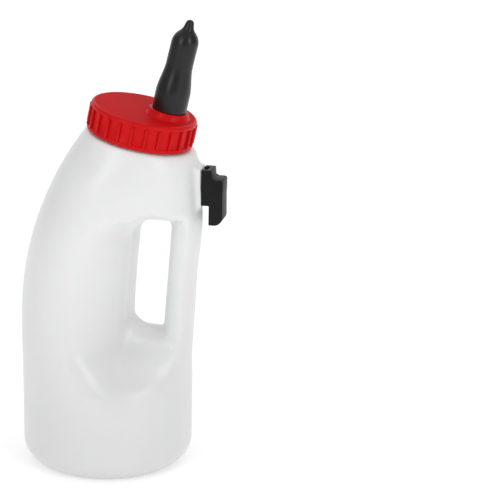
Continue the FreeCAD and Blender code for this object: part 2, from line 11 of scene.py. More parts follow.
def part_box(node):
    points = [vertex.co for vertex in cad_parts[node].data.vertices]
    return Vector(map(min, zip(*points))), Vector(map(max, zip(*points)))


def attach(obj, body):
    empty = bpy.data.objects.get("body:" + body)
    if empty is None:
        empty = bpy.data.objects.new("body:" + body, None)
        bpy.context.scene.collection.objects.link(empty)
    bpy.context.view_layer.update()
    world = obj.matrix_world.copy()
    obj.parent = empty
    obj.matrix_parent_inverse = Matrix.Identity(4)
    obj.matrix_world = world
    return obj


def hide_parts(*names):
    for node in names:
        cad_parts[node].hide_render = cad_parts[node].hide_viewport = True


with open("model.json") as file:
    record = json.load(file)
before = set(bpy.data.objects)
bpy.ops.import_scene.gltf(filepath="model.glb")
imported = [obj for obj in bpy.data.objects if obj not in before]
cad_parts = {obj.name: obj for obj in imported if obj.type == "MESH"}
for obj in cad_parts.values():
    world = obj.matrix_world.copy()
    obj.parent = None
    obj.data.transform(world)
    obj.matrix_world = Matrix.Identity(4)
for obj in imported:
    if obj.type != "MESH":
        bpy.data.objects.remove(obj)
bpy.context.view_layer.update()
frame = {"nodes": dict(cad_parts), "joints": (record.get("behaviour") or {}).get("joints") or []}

bl_info = {
    "name": "Calf feeding bottle",
    "version": (1, 0, 0),
    "blender": (4, 5, 0),
    "location": "3D View > Sidebar > Feeding bottle",
    "description": "Builds a blow-moulded calf feeding bottle with its cap, teat and hook",
    "category": "Object",
}

MM = 0.001
JOINTS = {joint["name"]: joint for joint in frame["joints"]}

# The neck axis: where the cap's lower rim is centred, and the way it leans.
CAP_SEAT = Vector(JOINTS["cap_turn"]["pos_m"]) / MM
NECK_UP = Vector(JOINTS["cap_turn"]["axis"]).normalized()
NECK_ACROSS = Vector((NECK_UP.z, 0.0, -NECK_UP.x))
TEAT_SEAT = Vector(JOINTS["flow_select"]["pos_m"]) / MM
LEAN = math.atan2(NECK_UP.x, NECK_UP.z)
TEAT_BEND = 0.00028  # droop in millimetres, per square millimetre above BEND_FROM
BEND_FROM = 31.0


# ---------------------------------------------------------------- sizes and colours
def length(name, text, millimetres):
    """A size in millimetres, shown in the panel as a length."""
    return FloatProperty(name=name, description=text, default=millimetres * MM, unit="LENGTH",
                         precision=5)


def colour(name, text, value):
    """A colour, shown in the panel as a swatch."""
    return FloatVectorProperty(name=name, description=text, default=value, subtype="COLOR",
                               size=3, min=0.0, max=1.0)


class BottleSizes(bpy.types.PropertyGroup):
    """What a user would change on the blow-moulded bottle."""
    wall: length("Wall", "Thickness of the blown wall", 2.0)
    neck_radius: length("Neck radius", "Outside of the neck under its thread", 43.0)
    neck_bore: length("Neck bore", "Inside of the neck", 40.8)
    lip_height: length("Lip height", "Neck's lip over the cap's lower rim", 20.6)
    edge_round: length("Grip edge", "Softness of the edges round the grip hole", 6.5)
    mesh_pitch: length("Mesh pitch", "Spacing of the outer mesh", 2.3)
    milk_white: colour("Plastic", "Natural polyethylene", (0.78, 0.78, 0.78))


class CapSizes(bpy.types.PropertyGroup):
    """What a user would change on the screw cap."""
    radius: length("Radius", "Outside of the bands and ribs", 48.4)
    panel_radius: length("Panel radius", "Outside of the recessed panels", 47.1)
    height: length("Height", "Height without the collar", 25.4)
    ribs: IntProperty(name="Ribs", description="Ribs round the skirt", default=25, min=3, max=90)
    red: colour("Plastic", "Cap red", (0.58, 0.004, 0.006))


class TeatSizes(bpy.types.PropertyGroup):
    """What a user would change on the rubber teat."""
    foot_radius: length("Foot radius", "Radius over the collar", 15.5)
    stem_radius: length("Stem radius", "Radius of the upper part", 12.1)
    wall: length("Wall", "Rubber thickness", 2.6)
    black: colour("Rubber", "Black rubber", (0.003, 0.003, 0.0033))


class HookSizes(bpy.types.PropertyGroup):
    """What a user would change on the hook."""
    edge: length("Edge", "Softness of the moulded edges", 0.6)
    black: colour("Plastic", "Black plastic", (0.003, 0.003, 0.0033))


class StageSizes(bpy.types.PropertyGroup):
    """Camera and studio."""
    azimuth: FloatProperty(name="Azimuth", description="Camera round the bottle",
                           default=math.radians(15.5), subtype="ANGLE")
    distance: length("Distance", "Camera to the bottle's axis, level", 1735.5)
    height: length("Height", "Camera over the floor", 748.0)
    lens: FloatProperty(name="Lens", description="Focal length", default=142.0, unit="CAMERA")


# ---------------------------------------------------------------- shader expressions
class Flow:
    """A number on a shader socket. Arithmetic on it adds the Math nodes."""

    def __init__(self, sheet, socket):
        self.sheet = sheet
        self.socket = socket

    def calc(self, operation, *values):
        return self.sheet.node("ShaderNodeMath", {"operation": operation}, values)

    def __add__(self, other):
        return self.calc("ADD", self, other)

    def __radd__(self, other):
        return self.calc("ADD", other, self)

    def __sub__(self, other):
        return self.calc("SUBTRACT", self, other)

    def __rsub__(self, other):
        return self.calc("SUBTRACT", other, self)

    def __mul__(self, other):
        return self.calc("MULTIPLY", self, other)

    def __rmul__(self, other):
        return self.calc("MULTIPLY", other, self)

    def __truediv__(self, other):
        return self.calc("DIVIDE", self, other)

    def __rtruediv__(self, other):
        return self.calc("DIVIDE", other, self)

    def size(self):
        return self.calc("ABSOLUTE", self)

    def step(self, low, high):
        """0 below low, 1 above high, smooth between."""
        return self.sheet.node("ShaderNodeMapRange", {"interpolation_type": "SMOOTHSTEP"},
                               {"Value": self, "From Min": low, "From Max": high})


class Finish:
    """One material being written."""

    def __init__(self, name, **constants):
        self.material = bpy.data.materials.new(name)
        self.material.use_nodes = True
        self.nodes = self.material.node_tree.nodes
        self.links = self.material.node_tree.links
        self.shader = self.nodes["Principled BSDF"]
        for socket, value in constants.items():
            self.shader.inputs[socket.replace("_", " ")].default_value = value
        self.place = self.node("ShaderNodeTexCoord", {}, {}, "Object")

    def node(self, kind, settings, values, output=0):
        """Add a node: settings first, then a value or link for each socket."""
        made = self.nodes.new(kind)
        for key, value in settings.items():
            setattr(made, key, value)
        pairs = values.items() if isinstance(values, dict) else enumerate(values)
        for key, value in pairs:
            if isinstance(value, Flow):
                self.links.new(value.socket, made.inputs[key])
            else:
                made.inputs[key].default_value = value
        return Flow(self, made.outputs[output])

    def noise(self, scale, detail=2.0, rough=0.5, stretch=None):
        where = self.place
        if stretch:
            where = self.node("ShaderNodeMapping", {}, {"Vector": where, "Scale": stretch})
        sockets = {"Vector": where, "Scale": scale, "Detail": detail, "Roughness": rough}
        return self.node("ShaderNodeTexNoise", {}, sockets, "Fac")

    def mix(self, amount, first, second):
        """Blend two colours by a flow."""
        made = self.nodes.new("ShaderNodeMix")
        made.data_type = "RGBA"
        self.links.new(amount.socket, made.inputs[0])
        for index, value in ((6, first), (7, second)):
            if isinstance(value, Flow):
                self.links.new(value.socket, made.inputs[index])
            else:
                made.inputs[index].default_value = (*value, 1.0)
        return Flow(self, made.outputs[2])

    def axes(self):
        split = self.nodes.new("ShaderNodeSeparateXYZ")
        self.links.new(self.place.socket, split.inputs[0])
        return [Flow(self, socket) for socket in split.outputs]

    def bump(self, height, strength, distance):
        return self.node("ShaderNodeBump", {}, {"Height": height, "Strength": strength,
                                                "Distance": distance})

    def feed(self, socket, flow):
        self.links.new(flow.socket, self.shader.inputs[socket])


def shade(value, factor):
    return tuple(min(1.0, part * factor) for part in value)


def polyethylene(white):
    """Natural blown polyethylene: soft gloss, slow flow marks and a faint parting line."""
    finish = Finish("natural_polyethylene", IOR=1.5, Subsurface_Weight=0.12, Subsurface_Scale=0.004,
                    Specular_IOR_Level=0.42)
    _, across, up = finish.axes()
    cloud = finish.noise(9.0, 3.0)
    flow_marks = finish.noise(60.0, 2.0, 0.5, (1.0, 1.0, 0.06))
    specks = finish.noise(900.0, 2.0, 0.6)
    seam = 1.0 - across.size().step(0.0002, 0.0009)
    foot = 1.0 - up.step(0.0, 0.02)
    tone = cloud * 0.6 + flow_marks * 0.4
    pale = finish.mix(tone, shade(white, 0.965), shade(white, 1.02))
    # Painted shade: the white is darkened over the lowest 24 cm, darkest at the bottom, to stand in
    # for the dimmer light low on the bottle.
    painted_base_shade = 1.0 - up.step(0.0, 0.24)
    tone_with_base_shade = finish.mix(painted_base_shade, pale, shade(white, 0.88))
    finish.feed("Base Color", finish.mix(foot * specks * 0.35, tone_with_base_shade, shade(white, 0.72)))
    finish.feed("Roughness", 0.22 + cloud * 0.10 + specks * 0.08 + foot * 0.12)
    relief = finish.noise(240.0, 2.0) * 0.35 + flow_marks * 0.45 + seam * 0.9 + specks * 0.12
    finish.feed("Normal", finish.bump(relief, 0.22, 0.00035))
    return finish.material


def moulded(name, base, gloss, grain_scale, grain, wear=1.18, **constants):
    """Injection-moulded plastic: fine grain, slow tone changes and small handling scuffs."""
    finish = Finish(name, **constants)
    cloud = finish.noise(38.0, 3.0)
    grit = finish.noise(grain_scale, 2.0, 0.6)
    scuffs = finish.noise(420.0, 4.0, 0.65, (1.0, 0.25, 1.0)).step(0.60, 0.72)
    body = finish.mix(cloud, shade(base, 0.88), shade(base, 1.10))
    finish.feed("Base Color", finish.mix(scuffs * 0.35, body, shade(base, wear)))
    finish.feed("Roughness", gloss + cloud * 0.08 + grit * 0.06 + scuffs * 0.14)
    finish.feed("Normal", finish.bump(grit * 0.8 + cloud * 0.2, grain, 0.0002))
    return finish.material


def black_rubber(base):
    """Dipped black rubber: satin, slightly mottled, with dusty bloom and fine draw marks."""
    finish = Finish("black_rubber", Specular_IOR_Level=0.4)
    cloud = finish.noise(55.0, 4.0)
    pores = finish.noise(1500.0, 2.0, 0.6)
    draw_marks = finish.noise(260.0, 2.0, 0.5, (1.0, 1.0, 0.10))
    bloom = cloud.step(0.48, 0.75)
    finish.feed("Base Color", finish.mix(bloom * 0.6, base, shade(base, 2.3)))
    finish.feed("Roughness", 0.22 + cloud * 0.12 + pores * 0.06)
    finish.feed("Normal", finish.bump(pores * 0.35 + draw_marks * 0.4 + cloud * 0.5, 0.22, 0.0003))
    return finish.material


def polished_steel():
    """A lapped stainless ball with hair-fine marks."""
    finish = Finish("polished_steel", Metallic=1.0)
    marks = finish.noise(1600.0, 3.0, 0.6, (1.0, 0.1, 1.0))
    finish.feed("Base Color", finish.mix(marks, (0.62, 0.62, 0.63), (0.78, 0.78, 0.79)))
    finish.feed("Roughness", 0.10 + marks * 0.12)
    finish.feed("Normal", finish.bump(marks, 0.1, 0.00005))
    return finish.material


# ---------------------------------------------------------------- mesh helpers
def to_frame(points, seat):
    """Stand upright points (across, side, up), in millimetres, on the leaning axis, in metres."""
    turn = np.array([NECK_ACROSS, (0.0, 1.0, 0.0), NECK_UP])
    return (np.asarray(points, float) @ turn + np.array(seat)) * MM


def new_piece(name, points, faces, angle=math.radians(32)):
    """A smooth-shaded mesh object in metres; edges sharper than the angle stay crisp."""
    mesh = bpy.data.meshes.new(name)
    mesh.from_pydata([tuple(point) for point in points], [], [tuple(face) for face in faces])
    mesh.validate()
    made = bpy.data.objects.new(name, mesh)
    bpy.context.scene.collection.objects.link(made)
    soften(made, angle)
    return made


def soften(piece, angle=math.radians(32)):
    piece.data.polygons.foreach_set("use_smooth", [True] * len(piece.data.polygons))
    piece.data.set_sharp_from_angle(angle=angle)
    piece.data.update()


def turned(name, outline, seat, steps=144):
    """A closed outline of (radius, height), turned about the leaning axis. Faces point outwards."""
    rings = np.array(outline, float)
    angles = np.arange(steps) * 2 * math.pi / steps
    points = np.stack([rings[:, None, 0] * np.cos(angles), rings[:, None, 0] * np.sin(angles),
                       np.broadcast_to(rings[:, None, 1], (len(rings), steps))], axis=-1)
    count = len(rings)
    faces = []
    for ring in range(count):
        above = (ring + 1) % count
        if rings[ring, 0] == 0 and rings[above, 0] == 0:
            continue
        for step in range(steps):
            following = (step + 1) % steps
            faces.append((ring * steps + step, ring * steps + following,
                          above * steps + following, above * steps + step))
    piece = new_piece(name, to_frame(points.reshape(-1, 3), seat), faces)
    tidy = bmesh.new()
    tidy.from_mesh(piece.data)
    bmesh.ops.remove_doubles(tidy, verts=tidy.verts, dist=1e-7)
    bmesh.ops.dissolve_degenerate(tidy, edges=tidy.edges, dist=1e-8)
    bmesh.ops.recalc_face_normals(tidy, faces=tidy.faces)
    tidy.to_mesh(piece.data)
    tidy.free()
    soften(piece)
    return piece


def arc(middle, radius, start, end, steps=6):
    """Points (radius, height) on an arc, angles in degrees from the outward direction."""
    angles = np.radians(np.linspace(start, end, steps + 1))
    return [(middle[0] + radius * math.cos(angle), middle[1] + radius * math.sin(angle))
            for angle in angles]


def combine(piece, tool, operation):
    """Boolean one closed mesh with another, and remove the tool."""
    step = piece.modifiers.new("combine", "BOOLEAN")
    step.operation = operation
    step.object = tool
    step.solver = "MANIFOLD"
    bake(piece)
    mesh = tool.data
    bpy.data.objects.remove(tool)
    bpy.data.meshes.remove(mesh)
    if not piece.data.polygons:
        raise RuntimeError("nothing is left of " + piece.name)
    return piece


def bake(piece):
    """Turn the evaluated object into its own plain mesh and drop the modifiers."""
    bpy.context.view_layer.update()
    evaluated = piece.evaluated_get(bpy.context.evaluated_depsgraph_get())
    plain = bpy.data.meshes.new_from_object(evaluated)
    old = piece.data
    piece.modifiers.clear()
    piece.data = plain
    bpy.data.meshes.remove(old)


def dress(piece, material, body, slot, *nodes):
    """Give a finished piece its material, its body and the nodes it stands for; the slot is not used.
    """
    piece.data.materials.clear()
    piece.data.materials.append(material)
    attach(piece, body)
    if nodes:
        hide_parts(*nodes)


# ---------------------------------------------------------------- the bottle as a field
# Stations up the bottle, in millimetres: height along the leaning sections, half depth,
# where it is widest, and how far the back is drawn in to the grip's thickness.
SECTION_HEIGHT = np.array((0.0, 60.0, 82.0, 103.0, 123.0, 170.0,
                           218.0, 236.0, 248.0, 278.0, 294.0, 310.0))
HALF_DEPTH = np.array((78.6, 78.7, 78.2, 76.2, 73.6, 69.5, 65.0, 62.8, 61.0, 56.0, 51.0, 46.9))
WIDEST = np.array((0.0, 0.0, -5.0, -15.0, -24.0, -27.0, -18.0, -10.0, -2.0, 12.0, 24.0, 28.4))
TAIL_SHARE = np.array((0.0, 0.0, 0.05, 0.48, 0.94, 1.0, 1.0, 0.45, 0.06, 0.0, 0.0, 0.0))
TAIL_HALF = np.array((25.0, 25.0, 25.0, 25.0, 24.2, 23.0, 23.0, 23.8, 25.5, 27.0, 30.0, 40.0))
BACK_HEIGHT = np.array((0.0, 95.0, 127.0, 158.0, 187.0, 216.0,
                        238.0, 252.0, 285.0, 293.0, 299.0, 304.0))
BACK_AT = np.array((78.6, 78.7, 80.2, 81.8, 83.3, 86.4, 87.4, 86.2, 83.4, 82.0, 79.4, 75.0))
TAIL_END = 13.0
RIM_AT = 22.0
RIM_REACH = 30.0
RIM_HALF = 14.0
RIM_SOFTNESS = 0.16
WALL_LEAN = 0.078
ARCH_START = 140.0
ARCH_RADIUS = 294.0
ARCH_SHARE = 0.9
ARCH_FRONT = -79.5
LEAN_START = 189.0
ALMOST_ONE = 0.999

# The hand's hole, in millimetres at the parting plane, with its flare to both sides.
HOLE_FRONT = 21.5
HOLE_FOOT = 131.0
HOLE_TOP = 237.0
NOSE_SWELL = 2.5
WALL_FLARE = 0.2
FOOT_DROP = 7.5
FOOT_RISE = 25.0
FOOT_RISE_FROM = 1.1
TOP_FLARE = 3.0
FLARE_LIMIT = 3.0
GRIP_FRONT = 53.8
GRIP_LEAN = 0.067
GRIP_HALF = 22.0
GRIP_BOW = 13.2
GRIP_FLARE = 40.0
ROUND_FOOT, ROUND_TOP, ROUND_GRIP = 19.0, 18.0, 7.0

# The hook's boss, the foot and the shoulder, in millimetres.
BOSS_MIDDLE = (80.4, 0.0, 269.0)
BOSS_HALF = (8.0, 9.9, 17.9)
BOSS_FILLET = 5.0
PUNT_RADIUS = 48.0
PUNT_HEIGHT = 1.2
FOOT_ROUND = 20.0
SHOULDER_GAP = 1.5
SHOULDER_ROUND = 2.5

# The box that is searched for the bottle's surface, and how much coarser its inside may be.
FIELD_LOW, FIELD_HIGH = (-84.0, -83.0, -4.0), (94.0, 83.0, 326.0)
INSIDE_COARSER = 1.7


def eased(part):
    """A share from 0 to 1 with level ends."""
    return part * part * (3 - 2 * part)


def through(places, values, wanted):
    """A smooth monotone curve through stations, with level ends."""
    wanted = np.clip(wanted, places[0], places[-1])
    gaps = np.diff(places)
    rises = np.diff(values) / gaps
    slopes = np.zeros(len(places))
    same_way = rises[:-1] * rises[1:] > 0
    total = rises[:-1] + rises[1:]
    slopes[1:-1][same_way] = (2 * rises[:-1] * rises[1:] / np.where(total == 0, 1, total))[same_way]
    slopes[0] = rises[0]
    slopes[-1] = rises[-1]
    index = np.clip(np.searchsorted(places, wanted, side="right") - 1, 0, len(gaps) - 1)
    gap = gaps[index]
    share = (wanted - places[index]) / gap
    return ((1 + 2 * share) * (1 - share) ** 2 * values[index]
            + share * (1 - share) ** 2 * gap * slopes[index]
            + share ** 2 * (3 - 2 * share) * values[index + 1]
            + share ** 2 * (share - 1) * gap * slopes[index + 1])


def round_both(first, second, radius):
    """Inside both forms, with a round of this radius on the edge between them."""
    reach = np.hypot(np.maximum(first + radius, 0), np.maximum(second + radius, 0))
    return np.minimum(np.maximum(first, second), -radius) + reach


def round_either(first, second, radius):
    """Inside either form, with a fillet of this radius in the corner between them."""
    reach = np.hypot(np.maximum(radius - first, 0), np.maximum(radius - second, 0))
    return np.maximum(np.minimum(first, second), radius) - reach


def section_value(across, side, up):
    """Zero on the bottle's free form, below zero inside: an egg drawn in towards its back."""
    lean = np.clip((up - LEAN_START) / (CAP_SEAT.z - LEAN_START), 0.0, 1.0)
    level = up + math.tan(LEAN) * lean * (across - CAP_SEAT.x)
    rise = np.clip(up - ARCH_START, 0.0, ARCH_SHARE * ARCH_RADIUS)
    front = ARCH_FRONT + ARCH_RADIUS - np.sqrt(ARCH_RADIUS ** 2 - rise ** 2)
    back = through(BACK_HEIGHT, BACK_AT, up)
    depth = through(SECTION_HEIGHT, HALF_DEPTH, level)
    widest = through(SECTION_HEIGHT, WIDEST, level)
    share = through(SECTION_HEIGHT, TAIL_SHARE, level)
    tail = through(SECTION_HEIGHT, TAIL_HALF, level)
    part = np.clip((across - RIM_AT) / RIM_REACH, 0.0, 1.0)
    tail = tail - (tail - RIM_HALF) * (1 - eased(part)) * share ** 3
    along = across - widest
    reach = np.where(along < 0, widest - front, back - widest)
    part = np.clip(along / reach, 0.0, ALMOST_ONE)
    inside = part * reach
    plain = depth * np.sqrt(1 - part ** 2)
    bow = 1 - (inside / (RIM_AT + WALL_LEAN * (up - HOLE_FOOT) - widest)) ** 2
    fall = 0.5 * (bow + np.sqrt(bow ** 2 + RIM_SOFTNESS ** 2))
    fall = fall / (0.5 + 0.5 * math.hypot(1.0, RIM_SOFTNESS))
    past = np.clip((inside - reach + TAIL_END) / TAIL_END, 0.0, ALMOST_ONE)
    drawn = tail * np.sqrt(1 - past ** 2) + (depth - tail) * fall
    width = plain + share * (drawn - plain)
    return np.sqrt((along / reach) ** 2 + (side * plain / width / depth) ** 2) - 1


def section_form(across, side, up):
    """The free form as a distance, to first order."""
    step = 0.5
    value = section_value(across, side, up)
    slope_x = (section_value(across + step, side, up) - value) / step
    slope_y = (section_value(across, side + step, up) - value) / step
    slope_z = (section_value(across, side, up + step) - value) / step
    return value / np.sqrt(slope_x ** 2 + slope_y ** 2 + slope_z ** 2 + 1e-8)


def hole_form(across, side, up):
    """The hand's hole between the bottle and its grip, flaring out to both sides."""
    out = np.abs(side) / GRIP_HALF
    flare = np.minimum(out, FLARE_LIMIT)
    nose = np.minimum(np.abs(side) / RIM_HALF, 1.0)
    beyond = np.maximum(np.abs(side) - RIM_HALF, 0.0)
    front = HOLE_FRONT + (up - HOLE_FOOT) * WALL_LEAN - NOSE_SWELL * nose ** 2 + WALL_FLARE * beyond
    foot = (HOLE_FOOT - FOOT_DROP * flare ** 2
            + FOOT_RISE * np.maximum(flare - FOOT_RISE_FROM, 0.0) ** 2)
    top = HOLE_TOP + TOP_FLARE * flare ** 2
    bow = GRIP_BOW * (1 - np.sqrt(1 - np.minimum(out, ALMOST_ONE) ** 2))
    grip = (GRIP_FRONT + (up - HOLE_FOOT) * GRIP_LEAN + bow
            + GRIP_FLARE * np.maximum(out - 1.0, 0.0))
    lower = round_both(front - across, foot - up, ROUND_FOOT)
    return round_both(round_both(lower, up - top, ROUND_TOP), across - grip, ROUND_GRIP)


def outer_form(points, settings):
    """The whole outside of the blown bottle, without its neck."""
    across, side, up = points[..., 0], points[..., 1], points[..., 2]
    body = section_form(across, side, up)
    body = round_both(body, -hole_form(across, side, up), settings.edge_round / MM)
    boss = np.maximum.reduce([np.abs(place - middle) - half for place, middle, half
                              in zip((across, side, up), BOSS_MIDDLE, BOSS_HALF)])
    body = round_either(body, boss, BOSS_FILLET)
    punt = np.hypot(across, side)
    floor = PUNT_HEIGHT * np.clip(1 - (punt / PUNT_RADIUS) ** 2, 0.0, 1.0)
    body = round_both(body, floor - up, FOOT_ROUND)
    crown = ((across - CAP_SEAT.x) * NECK_UP.x + (up - CAP_SEAT.z) * NECK_UP.z) + SHOULDER_GAP
    return round_both(body, crown, SHOULDER_ROUND)


def net_mesh(form, low, high, pitch):
    """Mesh the zero surface of a form with one point in each cell it crosses, drawn onto it."""
    ticks = [np.arange(low[axis], high[axis] + pitch, pitch) for axis in range(3)]
    grid = np.stack(np.meshgrid(*ticks, indexing="ij"), axis=-1)
    value = form(grid)
    cells = tuple(size - 1 for size in value.shape)
    total = np.zeros(cells + (3,))
    count = np.zeros(cells)
    corners = [(a, b, c) for a in (0, 1) for b in (0, 1) for c in (0, 1)]

    def at(corner, array):
        return array[tuple(slice(shift, shift + size) for shift, size in zip(corner, cells))]

    for start in corners:
        for axis in range(3):
            if start[axis]:
                continue
            end = tuple(1 if index == axis else shift for index, shift in enumerate(start))
            first, second = at(start, value), at(end, value)
            crossed = (first < 0) != (second < 0)
            share = np.where(crossed, first / np.where(crossed, first - second, 1), 0)
            place = at(start, grid) + share[..., None] * (at(end, grid) - at(start, grid))
            total += np.where(crossed[..., None], place, 0)
            count += crossed
    used = count > 0
    number = -np.ones(cells, int)
    number[used] = np.arange(used.sum())
    points = total[used] / count[used][:, None]
    for _ in range(4):
        points = points - np.clip(pull(form, points), -0.5 * pitch, 0.5 * pitch)
    faces = []
    inside = value < 0
    for axis in range(3):
        second, third = (axis + 1) % 3, (axis + 2) % 3
        here = [slice(0, size) for size in value.shape]
        ahead = list(here)
        here[axis], ahead[axis] = slice(0, -1), slice(1, None)
        change = inside[tuple(here)] != inside[tuple(ahead)]
        leaving = inside[tuple(here)]
        spots = np.argwhere(change)
        spots = spots[np.all(spots[:, [second, third]] > 0, axis=1)]
        spots = spots[(spots[:, second] < cells[second]) & (spots[:, third] < cells[third])]
        quad = []
        for back_two, back_three in ((1, 1), (0, 1), (0, 0), (1, 0)):
            cell = spots.copy()
            cell[:, second] -= back_two
            cell[:, third] -= back_three
            quad.append(number[tuple(cell.T)])
        quad = np.stack(quad, axis=1)
        outward = leaving[tuple(spots.T)]
        faces.append(np.where(outward[:, None], quad, quad[:, ::-1]))
    return points, np.concatenate(faces)


def pull(form, points):
    """How far each point has to come back to lie on the form's zero surface."""
    step = 0.05
    value = form(points)
    slope = np.stack([(form(points + way) - form(points - way)) / (2 * step)
                      for way in step * np.eye(3)], axis=-1)
    return (value / np.maximum((slope ** 2).sum(-1), 1e-4))[:, None] * slope


# ---------------------------------------------------------------- geometry nodes
def node_sheet(name, inputs):
    """A geometry node group with named inputs and one geometry output."""
    tree = bpy.data.node_groups.new(name, "GeometryNodeTree")
    tree.interface.new_socket("Geometry", in_out="INPUT", socket_type="NodeSocketGeometry")
    for label, kind in inputs:
        tree.interface.new_socket(label, in_out="INPUT", socket_type=kind)
    tree.interface.new_socket("Geometry", in_out="OUTPUT", socket_type="NodeSocketGeometry")
    return tree


def add_node(tree, kind, settings=None, links=None):
    made = tree.nodes.new(kind)
    for key, value in (settings or {}).items():
        setattr(made, key, value)
    for key, value in (links or {}).items():
        if isinstance(value, bpy.types.NodeSocket):
            tree.links.new(value, made.inputs[key])
        else:
            made.inputs[key].default_value = value
    return made


def grow(name, tree, values):
    """Run a geometry node group on an empty mesh and keep the result as a plain mesh object."""
    holder = bpy.data.objects.new(name, bpy.data.meshes.new(name))
    bpy.context.scene.collection.objects.link(holder)
    step = holder.modifiers.new("grow", "NODES")
    step.node_group = tree
    for item in tree.interface.items_tree:
        if item.in_out == "INPUT" and item.name in values:
            step[item.identifier] = values[item.name]
    bake(holder)
    if not holder.data.polygons:
        raise RuntimeError("the node group made nothing for " + name)
    return holder


def close_sheet(tree, geometry, material):
    """End a node group: realize its instances, set the material and join the output."""
    solid = add_node(tree, "GeometryNodeRealizeInstances", None, {"Geometry": geometry})
    painted = add_node(tree, "GeometryNodeSetMaterial", None, {
        "Geometry": solid.outputs[0], "Material": material})
    tree.links.new(painted.outputs[0], add_node(tree, "NodeGroupOutput").inputs[0])
    return tree


def thread_tree():
    """A ridge swept up a helix: radius, start, rise, turns and section come in as inputs."""
    numbers = ("Radius", "Start", "Rise", "Turns", "Ridge")
    tree = node_sheet("screw_thread", [(label, "NodeSocketFloat") for label in numbers]
                      + [("Finish", "NodeSocketMaterial")])
    given = add_node(tree, "NodeGroupInput").outputs
    helix = add_node(tree, "GeometryNodeCurveSpiral", None, {
        "Resolution": 72, "Rotations": given["Turns"], "Start Radius": given["Radius"],
        "End Radius": given["Radius"], "Height": given["Rise"], "Reverse": True})
    lift = add_node(tree, "ShaderNodeCombineXYZ", None, {"Z": given["Start"]})
    placed = add_node(tree, "GeometryNodeTransform", None, {
        "Geometry": helix.outputs[0], "Translation": lift.outputs[0]})
    section = add_node(tree, "GeometryNodeCurvePrimitiveCircle", None, {
        "Resolution": 10, "Radius": given["Ridge"]})
    along = add_node(tree, "GeometryNodeSplineParameter")
    ends = add_node(tree, "ShaderNodeFloatCurve", None, {"Value": along.outputs["Factor"]})
    curve = ends.mapping.curves[0]
    curve.points[0].location = (0.0, 0.25)
    curve.points[1].location = (1.0, 0.25)
    curve.points.new(0.06, 1.0)
    curve.points.new(0.94, 1.0)
    ends.mapping.update()
    thinned = add_node(tree, "GeometryNodeSetCurveRadius", None, {
        "Curve": placed.outputs[0], "Radius": ends.outputs[0]})
    swept = add_node(tree, "GeometryNodeCurveToMesh", None, {
        "Curve": thinned.outputs[0], "Profile Curve": section.outputs[0],
        "Scale": ends.outputs[0], "Fill Caps": True})
    return close_sheet(tree, swept.outputs[0], given["Finish"])


def rib_tree():
    """Copies of one rib, evenly round a circle and turned to face out."""
    tree = node_sheet("skirt_ribs", (("Rib", "NodeSocketObject"), ("Count", "NodeSocketInt"),
                                     ("Finish", "NodeSocketMaterial")))
    given = add_node(tree, "NodeGroupInput").outputs
    ring = add_node(tree, "GeometryNodeMeshCircle", None, {
        "Vertices": given["Count"], "Radius": 1.0})
    spot = add_node(tree, "GeometryNodeInputPosition")
    facing = add_node(tree, "FunctionNodeAlignRotationToVector", {"axis": "X", "pivot_axis": "Z"},
                      {"Vector": spot.outputs[0]})
    kept = add_node(tree, "GeometryNodeCaptureAttribute", None, {"Geometry": ring.outputs[0]})
    kept.capture_items.new("ROTATION", "Facing")
    tree.links.new(facing.outputs[0], kept.inputs[1])
    middle = add_node(tree, "GeometryNodeSetPosition", None, {
        "Geometry": kept.outputs[0], "Position": (0.0, 0.0, 0.0)})
    rib = add_node(tree, "GeometryNodeObjectInfo", None, {"Object": given["Rib"]})
    copies = add_node(tree, "GeometryNodeInstanceOnPoints", None, {
        "Points": middle.outputs[0], "Instance": rib.outputs["Geometry"],
        "Rotation": kept.outputs[1]})
    return close_sheet(tree, copies.outputs[0], given["Finish"])


def stand_on(piece, seat):
    """Move a mesh drawn upright in millimetres onto the leaning axis."""
    upright = np.array([vertex.co for vertex in piece.data.vertices], float)
    piece.data.vertices.foreach_set("co", to_frame(upright, seat).astype(np.float32).ravel())
    piece.data.update()


def thread_ridge(name, radius, start, plastic, body, slot):
    """The ridge of one screw thread, on the leaning axis."""
    ridge = grow(name, thread_tree(), {"Radius": radius, "Start": start, "Finish": plastic, **THREAD})
    stand_on(ridge, CAP_SEAT)
    soften(ridge)
    dress(ridge, plastic, body, slot)


# ---------------------------------------------------------------- operators
THREAD_RISE, THREAD_PITCH = 8.0, 6.0
THREAD = {"Rise": THREAD_RISE, "Turns": THREAD_RISE / THREAD_PITCH, "Ridge": 1.5}
NECK_THREAD_START, CAP_THREAD_START = 4.5, 1.5
SKIRT_INNER = 45.3


